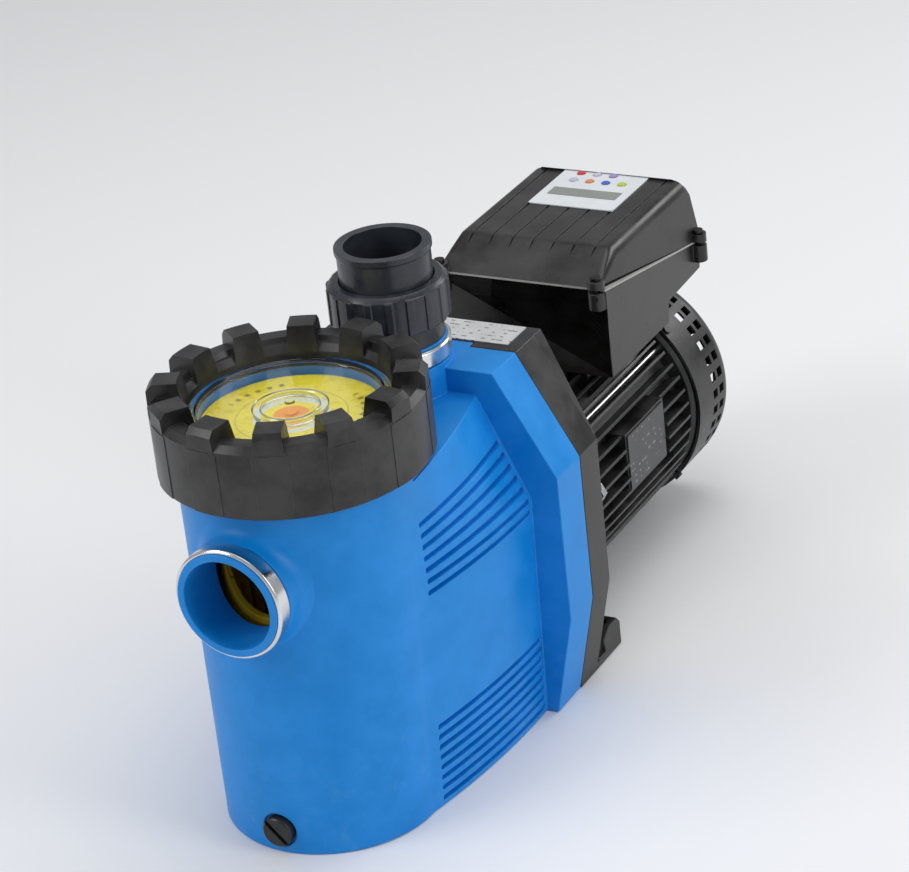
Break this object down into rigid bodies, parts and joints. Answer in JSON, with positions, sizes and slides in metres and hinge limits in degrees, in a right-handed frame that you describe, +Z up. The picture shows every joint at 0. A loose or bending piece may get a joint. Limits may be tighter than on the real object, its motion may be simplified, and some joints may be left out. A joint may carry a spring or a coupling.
{
  "type": "pool pump",
  "caption": "Variable-speed pool circulation pump: moulded strainer housing with a clear lid and lock ring, finned motor, drive box with keypad, and a pipe union.",
  "frame": {"origin": "on the floor, under the middle of the pump's length, on its upright middle plane", "axes": "+Z up, +Y along the shaft from the suction socket towards the motor, +X to the right seen from the suction end"},
  "size_m": [0.22, 0.555, 0.328],
  "materials": {
    "blue_plastic": "moulded glass-filled plastic, satin",
    "black_plastic": "moulded plastic, fine grain",
    "motor_black": "satin paint on cast aluminium",
    "box_black": "satin moulded plastic",
    "yellow_plastic": "moulded plastic",
    "disc_yellow": "printed plastic disc",
    "clear": "clear moulded plastic",
    "rubber": "rubber",
    "steel": "brushed stainless steel",
    "aluminium": "cast aluminium",
    "brass": "brass",
    "copper": "enamelled copper wire",
    "ceramic": "polished ceramic",
    "carbon": "carbon",
    "nameplate": "blank dark plate",
    "gasket_grey": "grey gasket",
    "board_green": "circuit board",
    "panel_white": "printed keypad film",
    "display_grey": "display window",
    "key_red": "key",
    "key_pale": "key",
    "key_purple": "key",
    "key_orange": "key",
    "key_blue": "key",
    "key_green": "key",
    "label_silver": "blank silver label",
    "grey_pvc": "dark grey rigid plastic"
  },
  "bodies": {
    "pump": {"pump_housing": "blue_plastic", "suction_ring": "steel", "discharge_ring": "steel", "lid_seal": "rubber", "wear_ring": "steel", "diffuser": "black_plastic", "seal_seat": "ceramic", "motor_bracket": "black_plastic", "casing_seal": "rubber", "flange_bolts": "steel", "front_end_shield": "motor_black", "motor_frame": "motor_black", "motor_nameplate": "nameplate", "stator_core": "steel", "stator_windings": "copper", "front_bearing": "steel", "rear_bearing": "steel", "rear_end_shield": "motor_black", "tie_rods": "steel", "fan_cover": "black_plastic", "fan_cover_screws": "steel", "motor_bolts": "steel", "drive_base": "box_black", "cover_gasket": "gasket_grey", "drive_cover": "box_black", "cover_screws": "steel", "circuit_board": "board_green", "cable_glands": "black_plastic", "keypad_panel": "panel_white", "display_window": "display_grey", "bracket_label": "label_silver", "union_insert": "black_plastic", "union_seal": "rubber", "union_tail": "grey_pvc"},
    "rotor": {"motor_shaft": "steel", "impeller": "black_plastic", "impeller_nut": "brass", "seal_face": "carbon", "seal_spring": "steel", "slinger": "rubber", "rotor_core": "aluminium", "cooling_fan": "black_plastic"},
    "lid": {"lid": "clear", "instruction_disc": "disc_yellow"},
    "lock_ring": {"lock_ring": "black_plastic"},
    "basket": {"strainer_basket": "yellow_plastic"},
    "drain_plug": {"drain_plug": "black_plastic", "drain_plug_seal": "rubber"},
    "union_nut": {"union_nut": "grey_pvc"},
    "stop_key": {"stop_key": "key_red"},
    "speed_low_key": {"speed_low_key": "key_pale"},
    "speed_high_key": {"speed_high_key": "key_purple"},
    "menu_key": {"menu_key": "key_pale"},
    "back_key": {"back_key": "key_orange"},
    "set_key": {"set_key": "key_blue"},
    "start_key": {"start_key": "key_green"}
  },
  "joints": [
    {"name": "rotor_spin", "type": "hinge", "parent": "pump", "child": "rotor", "pos_m": [0, 0, 0.0906], "axis": [0, 1, 0], "continuous": true},
    {"name": "lid_lift", "type": "slide", "parent": "pump", "child": "lid", "axis": [0, 0, 1], "range_m": [0, 0.16]},
    {"name": "lock_ring_turn", "type": "hinge", "parent": "lid", "child": "lock_ring", "pos_m": [0, -0.1795, 0.27], "axis": [0, 0, 1], "range_deg": [0, 360]},
    {"name": "basket_lift", "type": "slide", "parent": "pump", "child": "basket", "axis": [0, 0, 1], "range_m": [0, 0.1]},
    {"name": "drain_plug_pull", "type": "slide", "parent": "pump", "child": "drain_plug", "axis": [0, -1, 0], "range_m": [0, 0.03]},
    {"name": "union_nut_turn", "type": "hinge", "parent": "pump", "child": "union_nut", "pos_m": [0, -0.0502, 0.29], "axis": [0, 0, 1], "range_deg": [0, 360]},
    {"name": "stop_key_press", "type": "slide", "parent": "pump", "child": "stop_key", "axis": [0, 0, -1], "range_m": [0, 0.0006], "stiffness_N_per_m": 300},
    {"name": "speed_low_key_press", "type": "slide", "parent": "pump", "child": "speed_low_key", "axis": [0, 0, -1], "range_m": [0, 0.0006], "stiffness_N_per_m": 300},
    {"name": "speed_high_key_press", "type": "slide", "parent": "pump", "child": "speed_high_key", "axis": [0, 0, -1], "range_m": [0, 0.0006], "stiffness_N_per_m": 300},
    {"name": "menu_key_press", "type": "slide", "parent": "pump", "child": "menu_key", "axis": [0, 0, -1], "range_m": [0, 0.0006], "stiffness_N_per_m": 300},
    {"name": "back_key_press", "type": "slide", "parent": "pump", "child": "back_key", "axis": [0, 0, -1], "range_m": [0, 0.0006], "stiffness_N_per_m": 300},
    {"name": "set_key_press", "type": "slide", "parent": "pump", "child": "set_key", "axis": [0, 0, -1], "range_m": [0, 0.0006], "stiffness_N_per_m": 300},
    {"name": "start_key_press", "type": "slide", "parent": "pump", "child": "start_key", "axis": [0, 0, -1], "range_m": [0, 0.0006], "stiffness_N_per_m": 300}
  ],
  "couplings": [
    {"joint": "basket_lift", "follows": "lid_lift", "ratio": 0.6}
  ]
}
